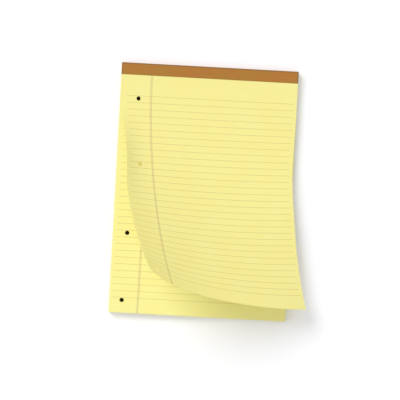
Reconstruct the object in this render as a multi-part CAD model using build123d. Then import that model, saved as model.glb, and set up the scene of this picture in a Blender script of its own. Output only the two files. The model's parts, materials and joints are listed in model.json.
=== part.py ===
from build123d import *
import os

# A head-bound A4 writing pad whose top sheet curls up at its lower left corner.
# The origin is the centre of the board's underside. +X runs across the sheets to the right,
# +Y runs up to the bound head and +Z is up.

# Writing paper: the sheets of the block and the one on top are alike.
sheet_width = 210.0
sheet_length = 297.0
sheet_thickness = 0.1
block_sheet_count = 79

# Grey backing board, cut to the size of the sheets.
board_thickness = 1.0

# Tape folded round the head, with a flap on the front and one on the back.
tape_thickness = 0.15
tape_front_width = 14.0
tape_back_width = 18.0

# Row of filing holes punched in the sheets, down the left side, as many as fit above the foot margin.
# The row leans: each hole is a step nearer to the edge than the one above it. The board behind is whole.
hole_diameter = 5.5
hole_pitch = 80.0
hole_edge_distance = 21.5
hole_edge_step = 2.2
hole_head_distance = 42.0
hole_foot_margin = 10.0

# Flat-wire stitches that hold the sheets to the board, hidden under the tape.
staple_count = 3
staple_pitch = 70.0
staple_crown_width = 12.0
staple_wire_width = 0.7
staple_wire_thickness = 0.4
staple_clinch_length = 4.5
staple_head_distance = 7.0

# Curl of the top sheet: the lift is the height of its lower left corner over the block.
# The sheet is a patch on four rows of control points, from the tape down to the foot. The first
# two rows lie flat on the block. Each point of the others has shares of the sheet's width,
# of its free length below the tape and of the lift.
curl_lift = 125.0
curl_column_shares = (0, 1 / 3, 2 / 3, 1)
curl_flat_row_shares = (0, 1 / 3)
curl_turn_row_shares = ((0.125, 0.68, 0.40), (0.39, 0.675, 0.02), (0.685, 0.68, 0), (0.995, 0.645, 0))
curl_foot_row_shares = ((0.25, 0.79, 1), (0.46, 0.92, 0.67), (0.80, 0.94, 0.42), (1.105, 0.938, 0.19))

# Reach of a cutter past the faces that it leaves.
cut_overrun = 1.0

# Places that follow from the sizes.
left_x = -sheet_width / 2
head_y = sheet_length / 2
tape_edge_y = head_y - tape_front_width
free_length = sheet_length - tape_front_width
block_thickness = block_sheet_count * sheet_thickness
block_top_z = board_thickness + block_thickness
pad_top_z = block_top_z + sheet_thickness
hole_radius = hole_diameter / 2
hole_room = sheet_length - hole_head_distance - hole_radius - hole_foot_margin
hole_count = int(hole_room // hole_pitch) + 1
hole_places = [
    (hole_edge_distance - i * hole_edge_step, hole_head_distance + i * hole_pitch) for i in range(hole_count)
]


def punched_block():
    """The sheets under the top one, as one solid, with the row of filing holes punched through."""
    with BuildPart() as sheets:
        with BuildSketch(Plane.XY.offset(board_thickness)):
            Rectangle(sheet_width, sheet_length)
            with Locations([(left_x + inset, head_y - drop) for inset, drop in hole_places]):
                Circle(hole_radius, mode=Mode.SUBTRACT)
        extrude(amount=block_thickness)
    return sheets.part


def pressed_board():
    """The board, with the shallow step that the tape's back flap is pressed into, so that its back is flat."""
    board_place = Pos(0, 0, board_thickness / 2)
    step_place = Pos(0, head_y - tape_back_width / 2, tape_thickness / 2)
    whole_board = board_place * Box(sheet_width, sheet_length, board_thickness)
    return whole_board - step_place * Box(sheet_width, tape_back_width, tape_thickness)


def bent_staples():
    """Stitches with the crown sunk flush into the top sheet and the ends clinched flush with the board."""
    stitch_height = pad_top_z - tape_thickness
    clinch_gap = staple_crown_width - 2 * staple_clinch_length
    with BuildPart() as stitch:
        with BuildSketch(Plane.XZ.offset(staple_head_distance - head_y)):
            with Locations((0, tape_thickness + stitch_height / 2)):
                RectangleRounded(staple_crown_width, stitch_height, staple_wire_thickness)
                Rectangle(
                    staple_crown_width - 2 * staple_wire_thickness,
                    stitch_height - 2 * staple_wire_thickness,
                    mode=Mode.SUBTRACT,
                )
            with Locations((0, tape_thickness + staple_wire_thickness / 2)):
                Rectangle(clinch_gap, staple_wire_thickness, mode=Mode.SUBTRACT)
        extrude(amount=staple_wire_width / 2, both=True)
    row_start_x = -staple_pitch * (staple_count - 1) / 2
    return [Pos(row_start_x + i * staple_pitch, 0, 0) * stitch.part for i in range(staple_count)]


def curl_point(across_share, along_share, lift_share):
    """A control point on or over the block, below the tape."""
    return Vector(
        left_x + across_share * sheet_width,
        tape_edge_y - along_share * free_length,
        block_top_z + lift_share * curl_lift,
    )


def curled_sheet():
    """One sheet: a flat strip under the tape that runs on into the curled patch, with its own holes."""
    rows = [[curl_point(across, along, 0) for across in curl_column_shares] for along in curl_flat_row_shares]
    rows.append([curl_point(*shares) for shares in curl_turn_row_shares])
    rows.append([curl_point(*shares) for shares in curl_foot_row_shares])
    underside = Face.make_bezier_surface(rows)
    curl = Solid.thicken(underside, sheet_thickness, normal_override=(0, 0, 1))
    strip = Pos(0, (head_y + tape_edge_y) / 2, (block_top_z + pad_top_z) / 2) * Box(
        sheet_width, tape_front_width, sheet_thickness
    )
    sheet = strip + curl
    punch = Cylinder(hole_radius, 2 * cut_overrun)
    for inset, drop in hole_places:
        along_share = (drop - tape_front_width) / free_length
        across_share = inset / sheet_width
        sheet -= underside.location_at(along_share, across_share) * punch
    return sheet


def folded_tape():
    """The tape's section, a flap on the front, a spine and a flap on the back, run across the head."""
    front_edge_y = head_y - tape_front_width
    back_edge_y = head_y - tape_back_width
    spine_y = head_y + tape_thickness
    front_z = pad_top_z + tape_thickness
    with BuildPart() as tape:
        with BuildSketch(Plane.YZ):
            with BuildLine():
                Polyline(
                    (front_edge_y, pad_top_z),
                    (head_y, pad_top_z),
                    (head_y, tape_thickness),
                    (back_edge_y, tape_thickness),
                    (back_edge_y, 0),
                    (spine_y, 0),
                    (spine_y, front_z),
                    (front_edge_y, front_z),
                    close=True,
                )
            section = make_face()
            folds = section.vertices().filter_by_position(Axis.X, spine_y, spine_y)
            fillet(folds, tape_thickness)
        extrude(amount=sheet_width / 2, both=True)
    return tape.part


staples = bent_staples()
board = pressed_board()
block = punched_block()
top_sheet = curled_sheet()
for staple in staples:
    board -= staple
    block -= staple
    top_sheet -= staple

nodes = {
    "backing_board": board,
    "page_block": block,
    "top_sheet": top_sheet,
    "binding_tape": folded_tape(),
    "binding_staples": Compound(children=staples),
}

os.makedirs("parts", exist_ok=True)
for name, shape in nodes.items():
    shape.label = name
    export_step(shape, f"parts/{name}.step")
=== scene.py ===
# %% [markdown]
# # A head-bound writing pad with a curled top sheet
# The pad is yellow A4 paper on a grey board, held at the head by a brown tape. Its plain forms and sizes
# come from the frame. This lesson models the sheets and the tape again in more detail, and adds the
# finishes, the print and the light.
# Everything is in metres: +X runs across the sheets, +Y up to the tape, and +Z out of the writing side.

# %% Load the frame
import json
import math
import random

import bmesh
import bpy
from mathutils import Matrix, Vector


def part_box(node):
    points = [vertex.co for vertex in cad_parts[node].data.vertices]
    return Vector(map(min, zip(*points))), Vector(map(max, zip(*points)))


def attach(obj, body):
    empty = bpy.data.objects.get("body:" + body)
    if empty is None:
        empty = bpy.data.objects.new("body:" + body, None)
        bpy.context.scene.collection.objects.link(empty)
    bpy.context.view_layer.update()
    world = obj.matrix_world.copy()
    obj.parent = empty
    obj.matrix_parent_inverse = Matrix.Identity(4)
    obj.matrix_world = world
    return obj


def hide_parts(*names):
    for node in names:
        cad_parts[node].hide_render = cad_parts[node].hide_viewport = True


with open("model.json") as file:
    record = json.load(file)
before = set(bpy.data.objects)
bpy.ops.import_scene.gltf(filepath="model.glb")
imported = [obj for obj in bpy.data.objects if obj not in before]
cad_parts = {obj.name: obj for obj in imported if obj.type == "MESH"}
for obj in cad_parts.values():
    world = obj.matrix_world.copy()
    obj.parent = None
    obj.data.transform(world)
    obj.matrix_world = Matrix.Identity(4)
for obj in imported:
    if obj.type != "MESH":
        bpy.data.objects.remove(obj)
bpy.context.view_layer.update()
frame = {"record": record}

bpy.ops.object.select_all(action="DESELECT")

# %% [markdown]
# ## Sizes
# The sheets are as wide and long as the block of pages, so those sizes are read from the frame. The record
# has the place and radius of the two lower filing holes, and the other two follow in the same line and
# pitch. The number of sheets and the tape's front flap can't be read from a box, so they are written here.

# %% Read the sizes of the pad
block_low, block_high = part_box("page_block")
tape_low, tape_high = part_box("binding_tape")
staple_low, staple_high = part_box("binding_staples")
sheet_width = block_high.x - block_low.x
sheet_length = block_high.y - block_low.y
left_edge, head_edge, foot_edge = block_low.x, block_high.y, block_low.y
block_top = block_high.z
leaf_count = 79
leaf_pitch = (block_high.z - block_low.z) / leaf_count
pad_top = block_top + leaf_pitch
tape_front = 0.014
tape_edge = head_edge - tape_front
bores = [mount for mount in frame["record"]["mounts"] if mount["kind"] == "bore"]
lowest_hole, next_hole = sorted((Vector(mount["pos_m"]) for mount in bores), key=lambda place: place.y)
hole_count = 4
holes = [lowest_hole + step * (next_hole - lowest_hole) for step in range(hole_count)]
hole_radius = bores[0]["dims"]["r_mm"] / 1000
print("sheet in mm:", round(1000 * sheet_width, 1), "x", round(1000 * sheet_length, 1), "holes:", len(holes))

# %% [markdown]
# ## Building materials from nodes
# A material here is a small graph of nodes. These two helpers keep the graphs short: one starts a material
# and hands it back with its tree and main shader, the other adds one sum, product or comparison.

# %% Two helpers for material graphs
def start_material(name, roughness, specular):
    material = bpy.data.materials.new(name)
    material.use_nodes = True
    tree = material.node_tree
    shader = tree.nodes["Principled BSDF"]
    shader.inputs["Roughness"].default_value = roughness
    shader.inputs["Specular IOR Level"].default_value = specular
    return material, tree, shader


def reckon(tree, operation, *values):
    node = tree.nodes.new("ShaderNodeMath")
    node.operation = operation
    for socket, value in zip(node.inputs, values):
        if isinstance(value, bpy.types.NodeSocket):
            tree.links.new(value, socket)
        else:
            socket.default_value = value
    return node.outputs[0]


print("graph helpers:", start_material.__name__, reckon.__name__)

# %% [markdown]
# ## Unevenness
# Noise gives paper, board and tape their small unevenness. It is read on Object coordinates, so its grain
# has a real size: a scale of 1000 makes grains of about a millimetre. A Map Range node stretches it, a Mix
# node blends two colours by it, and a Bump node lets the same kind of grain catch the light.

# %% Noise, blend and bump helpers
def grain(tree, scale, detail=3.0, stretch=(1, 1, 1)):
    place = tree.nodes.new("ShaderNodeTexCoord")
    mapping = tree.nodes.new("ShaderNodeMapping")
    mapping.inputs["Scale"].default_value = stretch
    noise = tree.nodes.new("ShaderNodeTexNoise")
    noise.inputs["Scale"].default_value = scale
    noise.inputs["Detail"].default_value = detail
    tree.links.new(place.outputs["Object"], mapping.inputs["Vector"])
    tree.links.new(mapping.outputs["Vector"], noise.inputs["Vector"])
    return noise.outputs["Fac"]


def stretch_range(tree, value, low, high, to_low, to_high):
    node = tree.nodes.new("ShaderNodeMapRange")
    node.interpolation_type = "SMOOTHSTEP"
    tree.links.new(value, node.inputs["Value"])
    for name, number in zip(("From Min", "From Max", "To Min", "To Max"), (low, high, to_low, to_high)):
        node.inputs[name].default_value = number
    return node.outputs["Result"]


def blend(tree, share, first, second):
    node = tree.nodes.new("ShaderNodeMix")
    node.data_type = "RGBA"
    tree.links.new(share, node.inputs["Factor"])
    colour_sockets = [socket for socket in node.inputs if socket.type == "RGBA"]
    for socket, colour in zip(colour_sockets, (first, second)):
        if isinstance(colour, bpy.types.NodeSocket):
            tree.links.new(colour, socket)
        else:
            socket.default_value = (*colour, 1)
    return next(socket for socket in node.outputs if socket.type == "RGBA")


def add_bump(tree, shader, height, strength, depth):
    node = tree.nodes.new("ShaderNodeBump")
    node.inputs["Strength"].default_value = strength
    node.inputs["Distance"].default_value = depth
    tree.links.new(height, node.inputs["Height"])
    tree.links.new(node.outputs["Normal"], shader.inputs["Normal"])


print("finish helpers:", grain.__name__, stretch_range.__name__, blend.__name__, add_bump.__name__)

# %% [markdown]
# ## Ruled yellow paper
# The print is feint ruling and a margin of two thin lines, set a little askew to the sheet. It could be
# drawn as thin geometry, but ink has no height, so it belongs in the material. Each sheet carries a UV map
# of itself laid flat, from 0 to 1 each way, and the graph turns that back into millimetres from the left
# edge and the head. The ruling then follows the paper wherever it bends. A line fades between two
# distances from its middle, and this helper gives how much of a spot is ruling and how much is margin,
# from 0 to 1.

# %% Ruling and margin
ruling_first = 38.9
ruling_pitch = 8.0
ruling_count = 31
ruling_left = 8.0
ruling_lean = 0.02
ruling_right = 206.0
ruling_fade = (0.2, 0.45)
margin_place = 36.5
margin_lean = 0.008
margin_half_gap = 0.7
margin_fade = (0.15, 1.0)


def printed_lines(tree):
    flat = tree.nodes.new("ShaderNodeUVMap")
    flat.uv_map = "flat_sheet"
    split = tree.nodes.new("ShaderNodeSeparateXYZ")
    tree.links.new(flat.outputs["UV"], split.inputs["Vector"])
    across = reckon(tree, "MULTIPLY", split.outputs["X"], 1000 * sheet_width)
    up = reckon(tree, "MULTIPLY", split.outputs["Y"], 1000 * sheet_length)
    down = reckon(tree, "SUBTRACT", 1000 * sheet_length, up)
    row = reckon(tree, "DIVIDE", reckon(tree, "SUBTRACT", down, ruling_first), ruling_pitch)
    nearest = reckon(tree, "ROUND", row)
    row_share = reckon(tree, "ABSOLUTE", reckon(tree, "SUBTRACT", row, nearest))
    ruled = stretch_range(tree, reckon(tree, "MULTIPLY", row_share, ruling_pitch), *ruling_fade, 1, 0)
    ruling_side = reckon(tree, "MULTIPLY_ADD", down, ruling_lean, across)
    for limit in (
        reckon(tree, "GREATER_THAN", nearest, -0.5),
        reckon(tree, "LESS_THAN", nearest, ruling_count - 0.5),
        reckon(tree, "GREATER_THAN", ruling_side, ruling_left),
        reckon(tree, "LESS_THAN", across, ruling_right),
    ):
        ruled = reckon(tree, "MULTIPLY", ruled, limit)
    leaned = reckon(tree, "MULTIPLY_ADD", down, margin_lean, across)
    margin_side = reckon(tree, "ABSOLUTE", reckon(tree, "SUBTRACT", leaned, margin_place))
    margin_gap = reckon(tree, "ABSOLUTE", reckon(tree, "SUBTRACT", margin_side, margin_half_gap))
    return ruled, stretch_range(tree, margin_gap, *margin_fade, 1, 0)


print("ruling ends in mm from the head:", round(ruling_first + (ruling_count - 1) * ruling_pitch, 1))

# %% [markdown]
# ## Two tints of the same paper
# All the sheets are one paper, but in the picture the pages under the top sheet look paler than the sheet
# itself, by more than the light here accounts for. So the pages get paler tints than the top sheet, as
# painted light. The paper is a function of its tints: two that change slowly over the sheet, like the
# clouds in real paper, and one for the fine fibres. The ink covers them only in part, because feint ruling
# is thin and broken.

# %% Ruled paper materials
ruling_ink = (0.45, 0.32, 0.10)
ruling_cover = (0.29, 0.40)
margin_ink = (0.50, 0.335, 0.20)
margin_cover = (0.31, 0.42)


def ruled_paper(name, first_tint, second_tint, fibre_tint):
    material, tree, shader = start_material(name, 0.82, 0.25)
    ruled, margined = printed_lines(tree)
    clouds = stretch_range(tree, grain(tree, 35), 0.3, 0.7, 0, 1)
    fibres = stretch_range(tree, grain(tree, 1500, 4), 0.3, 0.7, 0, 1)
    tint = blend(tree, clouds, first_tint, second_tint)
    tint = blend(tree, reckon(tree, "MULTIPLY", fibres, 0.25), tint, fibre_tint)
    cover = stretch_range(tree, grain(tree, 700), 0.2, 0.6, *ruling_cover)
    tint = blend(tree, reckon(tree, "MULTIPLY", ruled, cover), tint, ruling_ink)
    cover = stretch_range(tree, grain(tree, 600), 0.2, 0.6, *margin_cover)
    tint = blend(tree, reckon(tree, "MULTIPLY", margined, cover), tint, margin_ink)
    tree.links.new(tint, shader.inputs["Base Color"])
    add_bump(tree, shader, grain(tree, 2200, 4), 0.12, 0.0001)
    return material


top_paper = ruled_paper("top_paper", (0.928, 0.833, 0.305), (0.914, 0.853, 0.330), (0.86, 0.770, 0.260))
# The pages' paler tints are painted light: it is the same paper as the top sheet.
page_paper_painted_paler = ruled_paper("page_paper_painted_paler", (0.960, 0.890, 0.345), (0.946, 0.912, 0.372), (0.89, 0.824, 0.294))
print("paper graphs:", [len(material.node_tree.nodes) for material in (top_paper, page_paper_painted_paler)])

# %% [markdown]
# ## Punching holes and keeping the flat map
# Filing holes are punched while a sheet is still flat. A boolean would do it, but it leaves long thin
# faces. Instead the square of faces around the hole is deleted, a circle is added, and the two open rims
# are bridged, so the hole gets a clean round edge. Then the flat plan is written into the UV map. The
# square that a hole needs reaches 4 mm each way, and its rim is looked for a little further out.

# %% Punch and map helpers
punch_room = 0.004
rim_room_share = 1.4


def select_near(parts, hole, room, open_only):
    count = 0
    for part in parts:
        middle = sum((vertex.co for vertex in part.verts), Vector((0, 0, 0))) / len(part.verts)
        close = max(abs(middle.x - hole.x), abs(middle.y - hole.y)) < room
        part.select_set(close and not (open_only and len(part.link_faces) > 1))
        count += part.select
    return count


def punch_holes(piece, reach, cuts):
    rim_room = rim_room_share * reach
    bpy.context.view_layer.objects.active = piece
    bpy.ops.object.mode_set(mode="EDIT")
    for hole in holes:
        bpy.ops.mesh.select_mode(type="FACE")
        bpy.ops.mesh.select_all(action="DESELECT")
        select_near(bmesh.from_edit_mesh(piece.data).faces, hole, reach, False)
        bpy.ops.mesh.delete(type="FACE")
        bpy.ops.mesh.select_mode(type="EDGE")
        select_near(bmesh.from_edit_mesh(piece.data).edges, hole, rim_room, True)
        if cuts:
            bpy.ops.mesh.subdivide(number_cuts=cuts)
        rim = select_near(bmesh.from_edit_mesh(piece.data).edges, hole, rim_room, True)
        middle = (hole.x, hole.y, block_top)
        bpy.ops.mesh.primitive_circle_add(vertices=rim, radius=hole_radius, location=middle)
        select_near(bmesh.from_edit_mesh(piece.data).edges, hole, rim_room, True)
        bpy.ops.mesh.bridge_edge_loops()
    bpy.ops.mesh.select_all(action="SELECT")
    bpy.ops.mesh.normals_make_consistent(inside=False)
    bpy.ops.object.mode_set(mode="OBJECT")


def map_flat(piece):
    layer = piece.data.uv_layers.active
    layer.name = "flat_sheet"
    for loop in piece.data.loops:
        place = piece.data.vertices[loop.vertex_index].co
        across = (place.x - left_edge) / sheet_width
        up = (place.y - foot_edge) / sheet_length
        layer.data[loop.index].uv = (across, up)


def add_flat_grid(name, columns, rows):
    bpy.ops.object.select_all(action="DESELECT")
    middle = (0, 0, block_top)
    bpy.ops.mesh.primitive_grid_add(x_subdivisions=columns, y_subdivisions=rows, size=1, location=middle)
    piece = bpy.context.object
    piece.name = name
    piece.scale = (sheet_width, sheet_length, 1)
    bpy.ops.object.transform_apply(location=True, rotation=True, scale=True)
    return piece


def apply_solidify(piece, thickness, offset):
    modifier = piece.modifiers.new("thickness", "SOLIDIFY")
    modifier.thickness = thickness
    modifier.offset = offset
    bpy.context.view_layer.objects.active = piece
    bpy.ops.object.modifier_apply(modifier=modifier.name)


lean = holes[-1].x - holes[0].x
print("hole radius in mm:", round(1000 * hole_radius, 2), "lean of the row:", round(1000 * lean, 1))

# %% [markdown]
# ## The curled top sheet
# The top sheet is the piece that the eye goes to. It leaves the tape flat, lifts along its left side and
# swings past the right edge at the foot. A cloth simulation would sag like fabric, and paper doesn't, so
# the sheet follows a patch of four rows of four control points. The first two rows lie on the block, the
# last two carry the curl. A point of the net has shares of the sheet's width, of its free length and of
# the lift.

# %% Control points of the curl
curl_lift = 0.125
free_length = sheet_length - tape_front
column_shares = (0, 1 / 3, 2 / 3, 1)
turn_row_shares = ((0.125, 0.68, 0.40), (0.39, 0.675, 0.02), (0.685, 0.68, 0), (0.995, 0.645, 0))
foot_row_shares = ((0.25, 0.79, 1), (0.46, 0.92, 0.67), (0.80, 0.94, 0.42), (1.105, 0.938, 0.19))
patch_shares = [[(across, along, 0) for across in column_shares] for along in (0, 1 / 3)]
patch_shares += [turn_row_shares, foot_row_shares]


def net_point(across, along, lift):
    x = left_edge + across * sheet_width
    y = tape_edge - along * free_length
    return Vector((x, y, block_top + lift * curl_lift))


patch = [[net_point(*shares) for shares in row] for row in patch_shares]


def weights(share):
    rest = 1 - share
    return (rest**3, 3 * rest**2 * share, 3 * rest * share**2, share**3)


def on_patch(point):
    along = (tape_edge - point.y) / free_length
    if along <= 0:
        return point
    row_weights = weights(along)
    column_weights = weights((point.x - left_edge) / sheet_width)
    place = Vector((0, 0, 0))
    for row, row_weight in zip(patch, row_weights):
        for knot, column_weight in zip(row, column_weights):
            place += knot * (row_weight * column_weight)
    return place


raised_corner = on_patch(Vector((left_edge, foot_edge, block_top)))
print("raised corner in mm:", [round(1000 * v, 1) for v in raised_corner])

# %% [markdown]
# ## The free edges
# Where a sheet has been lifted by its corner, the free edge beside it rolls up a few millimetres further,
# and the tip of the corner hangs back. Nearer to the tape the same edge leans in over the page. On the
# other side the twist draws the edge in a little before it swings out, and the middle of the foot is drawn
# up towards the head. The patch is too smooth for that, so small shifts are added along the edges. The
# roll grows with the square of the nearness to the left edge, so the paper turns gently.

# %% Small shifts along the free edges
roll_reach = 0.032
roll_height = 0.0045
raised_span = (0.08, 0.80)
head_roll_height = 0.002
head_roll_in = 0.0055
head_roll_span = (0.04, 0.55)
hanging_span = (0.70, 1.30)
draw_in = 0.0018
drawn_span = (0.12, 0.68)
foot_draw = 0.0017


def hump(share, span):
    inside = min(1, max(0, (share - span[0]) / (span[1] - span[0])))
    return math.sin(math.pi * inside) ** 2


def edge_shift(point):
    along = (tape_edge - point.y) / free_length
    across = (point.x - left_edge) / sheet_width
    nearness = max(0, 1 - (point.x - left_edge) / roll_reach)
    roll = nearness**2
    head_roll = roll * hump(along, head_roll_span)
    foot_nearness = max(0, along) ** 8
    raised = hump(along, raised_span) - hump(along, hanging_span)
    return Vector((
        head_roll_in * head_roll - draw_in * across**3 * hump(along, drawn_span),
        foot_draw * foot_nearness * hump(across, (0, 1)),
        head_roll_height * head_roll + roll_height * roll * raised,
    ))


middle_left = Vector((left_edge, (head_edge + foot_edge) / 2, block_top))
print("extra lift at the middle of the left edge in mm:", round(1000 * edge_shift(middle_left).z, 2))

# %% [markdown]
# ## From flat to curled
# A real sheet is cut, ruled and punched flat, and only then does it curl. The mesh goes the same way: a
# fine grid is punched and mapped, and then each vertex moves to its place on the patch. The map keeps the
# flat place, so the print bends with the sheet. Solidify gives it the thickness of paper.

# %% Make the sheet flat, then curl it
curl_columns, curl_rows = 140, 198
sheet_thickness = 0.95 * leaf_pitch
smooth_angle = math.radians(40)
curled_sheet = add_flat_grid("curled_sheet", curl_columns, curl_rows)
punch_holes(curled_sheet, punch_room, 0)
map_flat(curled_sheet)
for vertex in curled_sheet.data.vertices:
    vertex.co = on_patch(vertex.co) + edge_shift(vertex.co)
apply_solidify(curled_sheet, sheet_thickness, 1)
bpy.ops.object.shade_smooth_by_angle(angle=smooth_angle)
curled_sheet.data.materials.append(top_paper)
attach(curled_sheet, "root")
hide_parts("top_sheet")
print("curled sheet faces:", len(curled_sheet.data.polygons))

# %% [markdown]
# ## One leaf of the stack
# Under the top sheet lie seventy-nine more. One block with lines on its sides would pass from far off, but
# real sheets never lie quite flush, and their edges show it. So one leaf is made first, with its holes.
# Its grid is coarse, with just enough columns and rows to set a square round each hole, because a flat
# sheet needs no more. The sides of each square are cut finer, so that the hole is round.

# %% One leaf of the stack
trim = 0.00015
leaf_thickness = 0.88 * leaf_pitch
inside_room = 0.0039
rim_cuts = 5
leaf_columns, leaf_rows = 3, 2 * hole_count + 1
leaf = add_flat_grid("sheet_stack", leaf_columns, leaf_rows)
row_places = [foot_edge + trim, head_edge - trim]
for hole in holes:
    row_places += [hole.y - punch_room, hole.y + punch_room]
row_places.sort()
for vertex in leaf.data.vertices:
    column = round((vertex.co.x - left_edge) / sheet_width * leaf_columns)
    row = round((vertex.co.y - foot_edge) / sheet_length * leaf_rows)
    vertex.co.y = row_places[row]
    beside = min(holes, key=lambda hole: abs(hole.y - vertex.co.y))
    column_places = (left_edge + trim, beside.x - punch_room, beside.x + punch_room, block_high.x - trim)
    vertex.co.x = column_places[column]
punch_holes(leaf, inside_room, rim_cuts)
map_flat(leaf)
apply_solidify(leaf, leaf_thickness, -1)
leaf.data.materials.append(page_paper_painted_paler)
print("leaf faces:", len(leaf.data.polygons))

# %% [markdown]
# ## The stack of sheets
# The leaf is now copied down the stack, each copy with its own mesh and nudged by up to the small trim
# that the leaf has all round, so no edge leaves the pad's outline. A leaf is a little thinner than its
# share of the stack, which leaves fine dark gaps between the sheets. The nudges come from a seeded
# generator and are always the same.

# %% Copy the leaf down the stack
top_leaf_drop = 0.05 * leaf_pitch
dice = random.Random(4)
copies = []
for level in range(1, leaf_count):
    copy = leaf.copy()
    copy.data = leaf.data.copy()
    bpy.context.collection.objects.link(copy)
    copy.location = (dice.uniform(-trim, trim), dice.uniform(-trim, trim), -level * leaf_pitch)
    copies.append(copy)
leaf.location.z = -top_leaf_drop
bpy.ops.object.select_all(action="DESELECT")
for piece in (*copies, leaf):
    piece.select_set(True)
bpy.context.view_layer.objects.active = leaf
bpy.ops.object.transform_apply(location=True, rotation=True, scale=True)
bpy.ops.object.join()
sheet_stack = bpy.context.object
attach(sheet_stack, "root")
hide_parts("page_block")
print("stack faces:", len(sheet_stack.data.polygons))

# %% [markdown]
# ## The head tape
# The tape is a strip of brown grained paper, glued over the head. A bent plate could be boxed out of a
# cube, but one strip that is folded round the edge keeps its grain running the same way. So it starts as a
# fine grid on the front, and its head edge is extruded down the spine and in under the back.

# %% Fold the tape round the head
tape_thickness = tape_high.y - head_edge
tape_back = head_edge - tape_low.y
tape_columns, tape_rows = 168, 12
touching = 1e-6
bpy.ops.object.select_all(action="DESELECT")
bpy.ops.mesh.primitive_grid_add(
    x_subdivisions=tape_columns, y_subdivisions=tape_rows, size=1, location=(0, 0, 0)
)
head_tape = bpy.context.object
head_tape.name = "head_tape"
head_tape.scale = (sheet_width, tape_front, 1)
head_tape.location = (0, head_edge - tape_front / 2, pad_top)
bpy.ops.object.transform_apply(location=True, rotation=True, scale=True)
bpy.ops.object.mode_set(mode="EDIT")
bpy.ops.mesh.select_mode(type="EDGE")
bpy.ops.mesh.select_all(action="DESELECT")
mesh = bmesh.from_edit_mesh(head_tape.data)
for edge in mesh.edges:
    edge.select_set(all(abs(vertex.co.y - head_edge) < touching for vertex in edge.verts))
bmesh.update_edit_mesh(head_tape.data)
bpy.ops.mesh.extrude_region_move(TRANSFORM_OT_translate={"value": (0, 0, tape_thickness - pad_top)})
bpy.ops.mesh.extrude_region_move(TRANSFORM_OT_translate={"value": (0, -tape_back, 0)})
print("front and back flap in mm:", [round(1000 * v, 1) for v in (tape_front, tape_back)])

# %% [markdown]
# ## Folds and ridges
# Tape never turns a sharp corner, so its two folds are bevelled. The crowns of the wire stitches below
# push up three faint ridges. They are raised in the mesh itself, as a smooth bump along each crown, so
# that they catch the light from every side.

# %% Round the folds and raise the stitch ridges
fold_bevel = 0.0003
ridge_height = 0.00012
ridge_reach = 0.0012
crown_half = 0.006
front_level = pad_top - 0.0001
fold_start = head_edge - 0.001
mesh = bmesh.from_edit_mesh(head_tape.data)
for edge in mesh.edges:
    on_head = all(abs(vertex.co.y - head_edge) < touching for vertex in edge.verts)
    level = abs(edge.verts[0].co.z - edge.verts[1].co.z) < touching
    edge.select_set(on_head and level)
bmesh.update_edit_mesh(head_tape.data)
bpy.ops.mesh.bevel(offset=fold_bevel, segments=3, affect="EDGES")
bpy.ops.mesh.select_all(action="SELECT")
bpy.ops.mesh.normals_make_consistent(inside=False)
bpy.ops.object.mode_set(mode="OBJECT")
crown_y = (staple_low.y + staple_high.y) / 2
crowns = [staple_low.x + crown_half, (staple_low.x + staple_high.x) / 2, staple_high.x - crown_half]
for vertex in head_tape.data.vertices:
    if vertex.co.z > front_level and vertex.co.y < fold_start:
        past_end = max(0, min(abs(vertex.co.x - crown) for crown in crowns) - crown_half) / ridge_reach
        off_line = (vertex.co.y - crown_y) / ridge_reach
        vertex.co.z += ridge_height * math.exp(-(off_line**2) - past_end**2)
apply_solidify(head_tape, tape_thickness, 1)
bpy.ops.object.shade_smooth_by_angle(angle=smooth_angle)
print("tape faces:", len(head_tape.data.polygons))

# %% [markdown]
# ## Brown tape
# The tape is a warm brown with a fine cross grain. Along the fold it is darkened with painted shade, and it
# is also darker at the cut ends, and darker and more olive along the lower edge. The grain runs across the
# pad, so the noise is stretched along X. The distance to each edge is worked out from the Object
# coordinates.

# %% Tape material
fold_shade_and_dark_end_reach = 0.0022
darker_lower_edge_reach = 0.0018
tape_paper, tree, shader = start_material("brown_tape", 0.62, 0.3)
blotches = stretch_range(tree, grain(tree, 60, 3, (0.5, 1, 1)), 0.3, 0.7, 0, 1)
threads = stretch_range(tree, grain(tree, 1400, 2, (0.35, 1, 1)), 0.35, 0.65, 0, 1)
tint = blend(tree, blotches, (0.455, 0.176, 0.028), (0.410, 0.202, 0.026))
tint = blend(tree, reckon(tree, "MULTIPLY", threads, 0.35), tint, (0.30, 0.125, 0.020))
place = tree.nodes.new("ShaderNodeTexCoord")
split = tree.nodes.new("ShaderNodeSeparateXYZ")
tree.links.new(place.outputs["Object"], split.inputs["Vector"])
fold_back = reckon(tree, "ABSOLUTE", reckon(tree, "SUBTRACT", split.outputs["Y"], head_edge))
fold_drop = reckon(tree, "ABSOLUTE", reckon(tree, "SUBTRACT", split.outputs["Z"], pad_top))
fold_gap = reckon(tree, "MAXIMUM", fold_back, fold_drop)
end_gap = reckon(tree, "SUBTRACT", sheet_width / 2, reckon(tree, "ABSOLUTE", split.outputs["X"]))
lip_gap = reckon(tree, "SUBTRACT", split.outputs["Y"], tape_edge)
# Painted shade along the fold, where the tape turns away from the light, and darker cut ends.
fold_shade_and_dark_ends = stretch_range(tree, reckon(tree, "MINIMUM", fold_gap, end_gap), 0, fold_shade_and_dark_end_reach, 0.7, 0)
tint = blend(tree, fold_shade_and_dark_ends, tint, (0.16, 0.10, 0.045))
# A darker, more olive band along the lower edge of the front flap.
darker_lower_edge = stretch_range(tree, lip_gap, 0, darker_lower_edge_reach, 0.55, 0)
tint = blend(tree, darker_lower_edge, tint, (0.27, 0.145, 0.020))
tree.links.new(tint, shader.inputs["Base Color"])
add_bump(tree, shader, grain(tree, 1600, 3, (0.5, 1, 1)), 0.3, 0.0002)
head_tape.data.materials.append(tape_paper)
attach(head_tape, "root")
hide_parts("binding_tape")
print("tape graph has", len(tree.nodes), "nodes")

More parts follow.
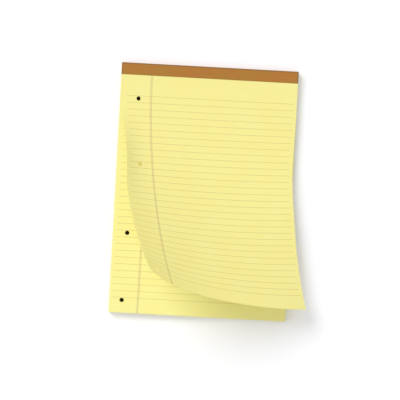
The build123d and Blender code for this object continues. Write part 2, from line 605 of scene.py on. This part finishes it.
# %% [markdown]
# ## Board and stitches
# The grey board and the wire stitches have the right shape in the frame already, so they only need a
# finish. Grey board is pressed from waste paper, and shows pale and dark flecks in a dull grey-brown. It
# is a dark one here, because the holes end on it and look dark in the picture.

# %% Board and wire materials
grey_board, tree, shader = start_material("grey_board", 0.9, 0.2)
clouds = stretch_range(tree, grain(tree, 90, 4), 0.3, 0.7, 0, 1)
flecks = stretch_range(tree, grain(tree, 900, 2, (1, 0.4, 1)), 0.6, 0.72, 0, 1)
pale = stretch_range(tree, grain(tree, 640, 2, (0.5, 1, 1)), 0.62, 0.74, 0, 1)
tint = blend(tree, clouds, (0.085, 0.070, 0.052), (0.115, 0.096, 0.074))
tint = blend(tree, reckon(tree, "MULTIPLY", flecks, 0.5), tint, (0.045, 0.038, 0.030))
tint = blend(tree, reckon(tree, "MULTIPLY", pale, 0.4), tint, (0.24, 0.21, 0.17))
tree.links.new(tint, shader.inputs["Base Color"])
add_bump(tree, shader, grain(tree, 1100, 4), 0.25, 0.0002)

wire, tree, shader = start_material("staple_wire", 0.35, 0.5)
shader.inputs["Metallic"].default_value = 1
streaks = stretch_range(tree, grain(tree, 900, 2, (0.2, 1, 1)), 0.3, 0.7, 0, 1)
tree.links.new(blend(tree, streaks, (0.52, 0.52, 0.53), (0.66, 0.66, 0.67)), shader.inputs["Base Color"])
for node, material in (("backing_board", grey_board), ("binding_staples", wire)):
    mesh = bpy.data.objects[node].data
    mesh.materials.clear()
    mesh.materials.append(material)
print("finished nodes:", "backing_board, binding_staples")

# %% [markdown]
# ## Floor
# The pad lies on a plain white ground. A white floor in even light still renders pale grey, so its
# material adds a little glow that only the camera and reflections see. The pad gets no extra light from
# it, and the shadow stays.

# %% White floor
floor_size = 6
floor_drop = 0.0003
floor_glow = 0.08
bpy.ops.object.select_all(action="DESELECT")
bpy.ops.mesh.primitive_plane_add(size=floor_size, location=(0, 0, -floor_drop))
floor = bpy.context.object
floor.name = "floor"
bpy.ops.object.transform_apply(location=True, rotation=True, scale=True)
white_ground, tree, shader = start_material("white_ground", 0.9, 0.1)
shader.inputs["Base Color"].default_value = (0.95, 0.955, 0.99, 1)
shader.inputs["Emission Color"].default_value = (1, 1, 1, 1)
rays = tree.nodes.new("ShaderNodeLightPath")
seen = reckon(tree, "MAXIMUM", rays.outputs["Is Camera Ray"], rays.outputs["Is Glossy Ray"])
seen = reckon(tree, "MAXIMUM", seen, rays.outputs["Is Transmission Ray"])
tree.links.new(reckon(tree, "MULTIPLY", seen, floor_glow), shader.inputs["Emission Strength"])
floor.data.materials.append(white_ground)
print("floor in m:", [round(v, 2) for v in floor.dimensions])

# %% [markdown]
# ## Light
# The picture has soft light from the upper left and short, soft shadows to the right and below. An even
# white world gives the fill. Two wide suns give the direction: the main one stands half-way up at the
# upper left, and a weak one lower at the left draws out the curl. Each sun's share is what it adds to a
# flat sheet, and with the fill the shares come to about 1, so a colour renders about as it is written.

# %% World and suns
world = bpy.data.worlds.new("studio")
bpy.context.scene.world = world
world.use_nodes = True
tree = world.node_tree
background = tree.nodes["Background"]
background.inputs["Color"].default_value = (1, 1, 1, 1)
rays = tree.nodes.new("ShaderNodeLightPath")
seen = reckon(tree, "MAXIMUM", rays.outputs["Is Camera Ray"], rays.outputs["Is Glossy Ray"])
seen = reckon(tree, "MAXIMUM", seen, rays.outputs["Is Transmission Ray"])
fill_strength = 0.64
strength = reckon(tree, "MULTIPLY_ADD", seen, 1 - fill_strength, fill_strength)
tree.links.new(strength, background.inputs["Strength"])


def add_sun(name, bearing, elevation, spread, share):
    bearing, elevation = math.radians(bearing), math.radians(elevation)
    flat_reach = math.cos(elevation)
    toward = Vector((flat_reach * math.cos(bearing), flat_reach * math.sin(bearing), math.sin(elevation)))
    bpy.ops.object.light_add(type="SUN", location=toward)
    sun = bpy.context.object
    sun.name = name
    sun.data.angle = math.radians(spread)
    sun.data.energy = share * math.pi / math.sin(elevation)
    sun.rotation_euler = toward.to_track_quat("Z", "Y").to_euler()


window_share = 0.32
side_share = 0.065
add_sun("window_light", bearing=132, elevation=43, spread=32, share=window_share)
add_sun("side_light", bearing=190, elevation=30, spread=40, share=side_share)
print("light on a flat sheet:", round(fill_strength + window_share + side_share, 3))

# %% [markdown]
# ## Camera
# The pad is seen from straight above through a long lens, turned by a few degrees in the frame. The
# picture is 475 mm wide at the height of the paper, and its centre falls a little to the left of the pad's
# own and below.

# %% Camera from above
view_width = 0.4748
view_height = 1.5
view_right, view_up = -0.0037, -0.0098
pad_turn = math.radians(3.15)
camera_place = (view_right, view_up, view_height + pad_top)
bpy.ops.object.camera_add(location=camera_place, rotation=(0, 0, pad_turn))
camera = bpy.context.object
camera.data.sensor_width = 36
camera.data.lens = camera.data.sensor_width * view_height / view_width
camera.data.clip_end = 10
bpy.context.scene.camera = camera
bpy.context.scene.view_settings.view_transform = "Standard"
print("lens in mm:", round(camera.data.lens, 1))
